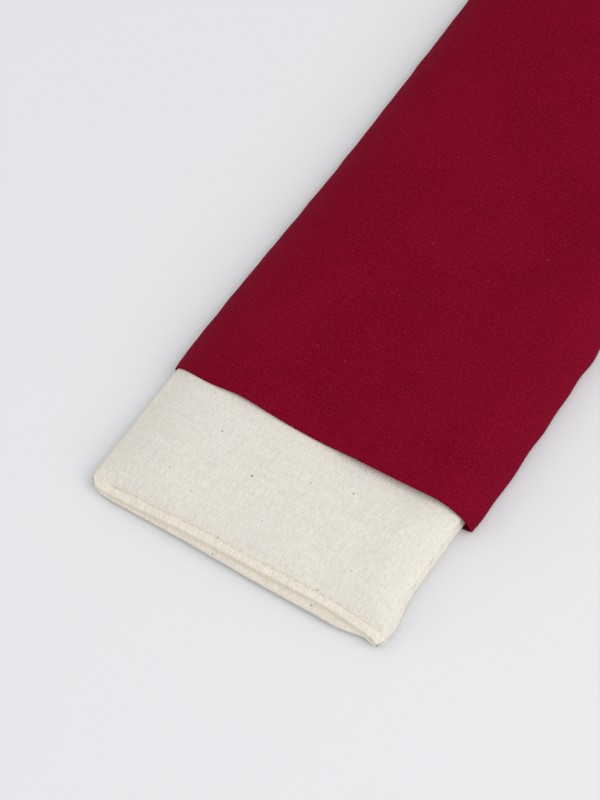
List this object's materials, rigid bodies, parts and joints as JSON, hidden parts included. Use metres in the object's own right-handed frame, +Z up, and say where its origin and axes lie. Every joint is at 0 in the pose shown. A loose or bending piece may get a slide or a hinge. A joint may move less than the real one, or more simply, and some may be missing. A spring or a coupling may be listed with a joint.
{
  "type": "eye pillow",
  "caption": "Flat oblong eye pillow: a seed-filled calico inner bag part-way out of the open end of a crimson cotton sateen cover.",
  "frame": {"origin": "under the middle of the whole pillow's box, on the surface it lies on", "axes": "+X across the pillow, +Y along it from the open mouth to the closed end of the cover, +Z up"},
  "size_m": [0.1, 0.275, 0.0135],
  "materials": {
    "crimson_sateen": "soft satin weave",
    "crimson_thread": "matt twisted thread",
    "calico": "matt unbleached plain weave",
    "cream_thread": "matt twisted thread",
    "linseed": "smooth seeds in bulk",
    "lavender": "dry and matt"
  },
  "bodies": {
    "cover": {"cover_top_panel": "crimson_sateen", "cover_bottom_panel": "crimson_sateen", "cover_seam_needle_thread": "crimson_thread", "cover_seam_bobbin_thread": "crimson_thread", "top_facing_stitches": "crimson_thread", "bottom_facing_stitches": "crimson_thread"},
    "inner_bag": {"bag_top_panel": "calico", "bag_bottom_panel": "calico", "bag_seam_needle_thread": "cream_thread", "bag_seam_bobbin_thread": "cream_thread", "closing_needle_stitches": "cream_thread", "closing_bobbin_stitches": "cream_thread", "linseed_fill": "linseed", "lavender_buds": "lavender"}
  },
  "joints": [
    {"name": "inner_slide", "type": "slide", "parent": "cover", "child": "inner_bag", "axis": [0, -1, 0], "range_m": [-0.049, 0.178]}
  ]
}
